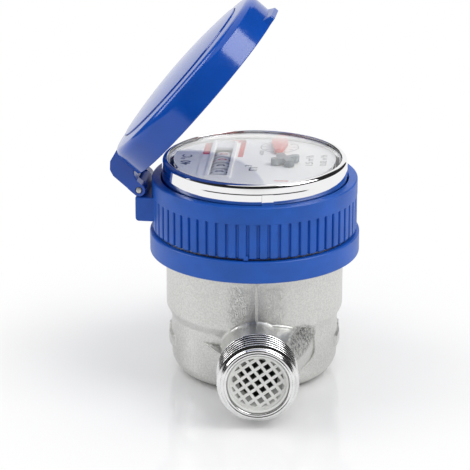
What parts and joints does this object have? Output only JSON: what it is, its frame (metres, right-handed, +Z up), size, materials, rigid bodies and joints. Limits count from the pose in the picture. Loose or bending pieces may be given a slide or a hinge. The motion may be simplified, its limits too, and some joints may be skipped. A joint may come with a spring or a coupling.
{
  "type": "water meter",
  "caption": "Dry dial water meter with a cast body, threaded ports, a turning register under a domed crystal and a hinged lid that stands open.",
  "frame": {"origin": "centre of the flat base on the floor, on the register's axis", "axes": "+Z up along the register's axis, -Y towards the inlet, +Y towards the outlet"},
  "size_m": [0.0829, 0.11, 0.1272],
  "materials": {
    "cast_stainless": "blasted matt casting",
    "white_plastic": "satin moulding",
    "pin_steel": "ground",
    "black_rubber": "moulded",
    "movement_plastic": "moulded",
    "magnet": "moulded ferrite",
    "red_plastic": "moulded",
    "drum_white": "moulded, printed figures",
    "dial_white": "printed plate",
    "crystal": "clear and polished",
    "chrome": "polished",
    "blue_plastic": "glossy moulding"
  },
  "bodies": {
    "base": {"meter_body": "cast_stainless", "inlet_strainer": "white_plastic", "chamber_pivot": "pin_steel", "plate_seal": "black_rubber", "pressure_plate": "white_plastic"},
    "head": {"lock_band": "blue_plastic", "collar": "blue_plastic", "hinge_pin": "pin_steel", "capsule_gasket": "black_rubber", "register_can": "white_plastic", "movement_plate": "movement_plastic", "drum_axle": "pin_steel", "dial_plate": "dial_white", "crystal": "crystal", "bezel_ring": "chrome"},
    "lid": {"lid": "blue_plastic"},
    "impeller": {"impeller": "white_plastic"},
    "follower": {"magnet_follower": "magnet"},
    "flow_star": {"flow_star": "movement_plastic"},
    "first_gear": {"first_gear": "movement_plastic"},
    "second_gear": {"second_gear": "movement_plastic"},
    "pointer": {"pointer_gear": "movement_plastic", "litre_pointer": "red_plastic"},
    "drum_1": {"digit_drum_1": "drum_white"},
    "drum_2": {"digit_drum_2": "drum_white"},
    "drum_3": {"digit_drum_3": "drum_white"},
    "drum_4": {"digit_drum_4": "drum_white"},
    "drum_5": {"digit_drum_5": "drum_white"}
  },
  "joints": [
    {"name": "register_turn", "type": "hinge", "parent": "base", "child": "head", "pos_m": [0, 0, 0.05], "axis": [0, 0, 1], "range_deg": [-175, 175]},
    {"name": "lid_hinge", "type": "hinge", "parent": "head", "child": "lid", "pos_m": [-0.03714, 0.00522, 0.0641], "axis": [-0.1392, -0.9903, 0], "range_deg": [-49.5, 50.5]},
    {"name": "impeller_spin", "type": "hinge", "parent": "base", "child": "impeller", "pos_m": [0, 0, 0.015], "axis": [0, 0, 1], "continuous": true},
    {"name": "follower_spin", "type": "hinge", "parent": "head", "child": "follower", "pos_m": [0, 0, 0.038], "axis": [0, 0, 1], "continuous": true},
    {"name": "flow_star_spin", "type": "hinge", "parent": "head", "child": "flow_star", "pos_m": [0.00996, -0.00087, 0.065], "axis": [0, 0, 1], "continuous": true},
    {"name": "first_gear_spin", "type": "hinge", "parent": "head", "child": "first_gear", "pos_m": [0.00338, 0.00725, 0.065], "axis": [0, 0, 1], "continuous": true},
    {"name": "second_gear_spin", "type": "hinge", "parent": "head", "child": "second_gear", "pos_m": [0.01087, 0.01007, 0.065], "axis": [0, 0, 1], "continuous": true},
    {"name": "pointer_spin", "type": "hinge", "parent": "head", "child": "pointer", "pos_m": [0.00881, 0.0178, 0.07], "axis": [0, 0, 1], "continuous": true},
    {"name": "drum_1_spin", "type": "hinge", "parent": "head", "child": "drum_1", "pos_m": [-0.01216, -0.01158, 0.0644], "axis": [-0.0872, -0.9962, 0], "continuous": true},
    {"name": "drum_2_spin", "type": "hinge", "parent": "head", "child": "drum_2", "pos_m": [-0.0116, -0.00521, 0.0644], "axis": [-0.0872, -0.9962, 0], "continuous": true},
    {"name": "drum_3_spin", "type": "hinge", "parent": "head", "child": "drum_3", "pos_m": [-0.01104, 0.00117, 0.0644], "axis": [-0.0872, -0.9962, 0], "continuous": true},
    {"name": "drum_4_spin", "type": "hinge", "parent": "head", "child": "drum_4", "pos_m": [-0.01048, 0.00754, 0.0644], "axis": [-0.0872, -0.9962, 0], "continuous": true},
    {"name": "drum_5_spin", "type": "hinge", "parent": "head", "child": "drum_5", "pos_m": [-0.00992, 0.01392, 0.0644], "axis": [-0.0872, -0.9962, 0], "continuous": true}
  ],
  "couplings": [
    {"joint": "follower_spin", "follows": "impeller_spin", "ratio": 1},
    {"joint": "flow_star_spin", "follows": "impeller_spin", "ratio": -0.25},
    {"joint": "first_gear_spin", "follows": "impeller_spin", "ratio": -0.33333},
    {"joint": "second_gear_spin", "follows": "impeller_spin", "ratio": 0.11111},
    {"joint": "pointer_spin", "follows": "impeller_spin", "ratio": -0.037037},
    {"joint": "drum_1_spin", "follows": "impeller_spin", "ratio": 0.00000037037},
    {"joint": "drum_2_spin", "follows": "impeller_spin", "ratio": 0.0000037037},
    {"joint": "drum_3_spin", "follows": "impeller_spin", "ratio": 0.000037037},
    {"joint": "drum_4_spin", "follows": "impeller_spin", "ratio": 0.00037037},
    {"joint": "drum_5_spin", "follows": "impeller_spin", "ratio": 0.0037037}
  ]
}
